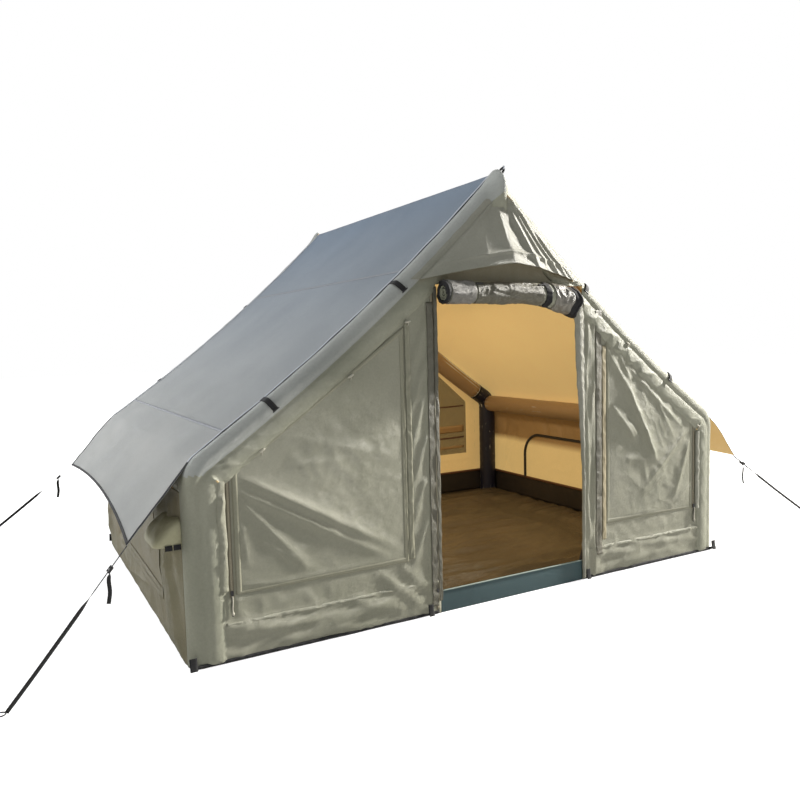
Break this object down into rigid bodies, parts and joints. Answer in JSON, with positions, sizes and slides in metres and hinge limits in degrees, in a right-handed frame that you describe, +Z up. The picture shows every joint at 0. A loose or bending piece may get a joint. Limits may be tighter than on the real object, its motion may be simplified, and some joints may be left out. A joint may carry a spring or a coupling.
{
  "type": "inflatable tent",
  "caption": "House-shaped tent on an inflated tube frame, with open doorway, rolled door, window flaps, fly sheet with awnings and guy webbing.",
  "frame": {"origin": "on the ground, at the middle of the tub floor's underside", "axes": "+X to the right across the door gable, the door on the -Y side, +Z up"},
  "size_m": [4.9127, 2.3686, 2.0151],
  "materials": {
    "khaki_cloth": "coated canvas, matt",
    "fly_cloth": "coated weave, slight sheen",
    "floor_cloth": "coated groundsheet, satin",
    "post_sleeve_cloth": "woven, matt",
    "beam_sleeve_cloth": "woven, matt",
    "air_film": "smooth film",
    "insect_net": "fine net",
    "black_webbing": "woven webbing",
    "black_plastic": "moulded, satin",
    "cream_cord": "woven cord",
    "valve_plastic": "moulded, satin"
  },
  "bodies": {
    "tent": {"tub_floor": "floor_cloth", "front_rim": "khaki_cloth", "front_wall_left": "khaki_cloth", "front_wall_head": "khaki_cloth", "front_wall_right": "khaki_cloth", "rear_wall": "khaki_cloth", "left_wall": "khaki_cloth", "right_wall": "khaki_cloth", "roof_canopy": "khaki_cloth", "fly_sheet": "fly_cloth", "door_hood": "khaki_cloth", "port_hood": "khaki_cloth", "front_arch_bladder": "air_film", "rear_arch_bladder": "air_film", "left_eave_bladder": "air_film", "right_eave_bladder": "air_film", "ridge_bladder": "air_film", "front_post_sleeve_left": "post_sleeve_cloth", "front_post_sleeve_right": "post_sleeve_cloth", "rear_post_sleeve_left": "post_sleeve_cloth", "rear_post_sleeve_right": "post_sleeve_cloth", "front_rafter_sleeve": "beam_sleeve_cloth", "rear_rafter_sleeve": "beam_sleeve_cloth", "left_eave_beam_sleeve": "beam_sleeve_cloth", "right_eave_beam_sleeve": "beam_sleeve_cloth", "ridge_beam_sleeve": "beam_sleeve_cloth", "valve_base": "valve_plastic", "door_roll": "khaki_cloth", "door_band": "khaki_cloth", "front_window_net_left": "insect_net", "front_window_net_right": "insect_net", "guy_front_left": "black_webbing", "guy_front_right": "black_webbing", "guy_rear_left": "black_webbing", "guy_rear_right": "black_webbing", "fly_strap_front_left_lower": "black_webbing", "fly_strap_front_left_upper": "black_webbing", "fly_strap_front_right_lower": "black_webbing", "fly_strap_front_right_upper": "black_webbing", "fly_strap_rear_left_lower": "black_webbing", "fly_strap_rear_left_upper": "black_webbing", "fly_strap_rear_right_lower": "black_webbing", "fly_strap_rear_right_upper": "black_webbing"},
    "front_left_flap": {"front_window_flap_left": "khaki_cloth"},
    "front_right_flap": {"front_window_flap_right": "khaki_cloth"},
    "rear_left_flap": {"rear_window_flap_left": "khaki_cloth"},
    "rear_right_flap": {"rear_window_flap_right": "khaki_cloth"},
    "left_panel": {"left_window_panel": "khaki_cloth"},
    "right_panel": {"right_window_panel": "khaki_cloth"},
    "left_slider": {"zip_slider_left": "cream_cord"},
    "right_slider": {"zip_slider_right": "cream_cord"},
    "door_slider": {"door_zip_slider": "black_plastic"},
    "left_toggle": {"door_toggle_left": "black_plastic"},
    "right_toggle": {"door_toggle_right": "black_plastic"},
    "front_left_lock": {"guy_lock_front_left": "black_plastic"},
    "front_right_lock": {"guy_lock_front_right": "black_plastic"},
    "rear_left_lock": {"guy_lock_rear_left": "black_plastic"},
    "rear_right_lock": {"guy_lock_rear_right": "black_plastic"},
    "valve_plunger_body": {"valve_plunger": "black_plastic"},
    "valve_cap_body": {"valve_cap": "black_plastic"}
  },
  "joints": [
    {"name": "front_left_flap_swing", "type": "hinge", "parent": "tent", "child": "front_left_flap", "pos_m": [-0.9175, -1.10155, 1.035], "axis": [-0.8141, 0, -0.5808], "range_deg": [0, 80]},
    {"name": "front_right_flap_swing", "type": "hinge", "parent": "tent", "child": "front_right_flap", "pos_m": [0.9875, -1.10155, 1.035], "axis": [-0.7551, 0, 0.6556], "range_deg": [0, 80]},
    {"name": "rear_left_flap_swing", "type": "hinge", "parent": "tent", "child": "rear_left_flap", "pos_m": [-0.9175, 1.10155, 1.035], "axis": [0.8141, 0, 0.5808], "range_deg": [0, 80]},
    {"name": "rear_right_flap_swing", "type": "hinge", "parent": "tent", "child": "rear_right_flap", "pos_m": [0.9875, 1.10155, 1.035], "axis": [0.7551, 0, -0.6556], "range_deg": [0, 80]},
    {"name": "left_panel_fold", "type": "hinge", "parent": "tent", "child": "left_panel", "pos_m": [-1.49445, 0, 0.155], "axis": [0, 1, 0], "range_deg": [0, 110]},
    {"name": "right_panel_fold", "type": "hinge", "parent": "tent", "child": "right_panel", "pos_m": [1.49445, 0, 0.155], "axis": [0, -1, 0], "range_deg": [0, 110]},
    {"name": "left_window_zip", "type": "slide", "parent": "tent", "child": "left_slider", "axis": [0, 0, 1], "range_m": [0, 0.42]},
    {"name": "right_window_zip", "type": "slide", "parent": "tent", "child": "right_slider", "axis": [0, 0, 1], "range_m": [0, 0.42]},
    {"name": "door_zip", "type": "slide", "parent": "tent", "child": "door_slider", "axis": [0, 0, 1], "range_m": [0, 1.36]},
    {"name": "left_toggle_turn", "type": "hinge", "parent": "tent", "child": "left_toggle", "pos_m": [-0.184, -1.1931, 1.4957], "axis": [0.0133, -0.7232, 0.6905], "range_deg": [0, 90]},
    {"name": "right_toggle_turn", "type": "hinge", "parent": "tent", "child": "right_toggle", "pos_m": [0.168, -1.1947, 1.4926], "axis": [-0.0027, -0.7495, 0.662], "range_deg": [0, 90]},
    {"name": "front_left_lock_slide", "type": "slide", "parent": "tent", "child": "front_left_lock", "axis": [-0.6327, -0.0111, -0.7743], "range_m": [-0.05, 0.05]},
    {"name": "front_right_lock_slide", "type": "slide", "parent": "tent", "child": "front_right_lock", "axis": [0.8436, -0.0077, -0.5369], "range_m": [-0.05, 0.05]},
    {"name": "rear_left_lock_slide", "type": "slide", "parent": "tent", "child": "rear_left_lock", "axis": [-0.7913, 0.0087, -0.6113], "range_m": [-0.05, 0.05]},
    {"name": "rear_right_lock_slide", "type": "slide", "parent": "tent", "child": "rear_right_lock", "axis": [0.7913, 0.0087, -0.6113], "range_m": [-0.05, 0.05]},
    {"name": "valve_plunger_press", "type": "slide", "parent": "tent", "child": "valve_plunger_body", "axis": [1, 0, 0], "range_m": [-0.004, 0], "stiffness_N_per_m": 300, "springref_m": 0.002},
    {"name": "valve_cap_swing", "type": "hinge", "parent": "tent", "child": "valve_cap_body", "pos_m": [-1.35744, 1.00104, 0.35], "axis": [0, 0, -1], "range_deg": [0, 150]}
  ]
}
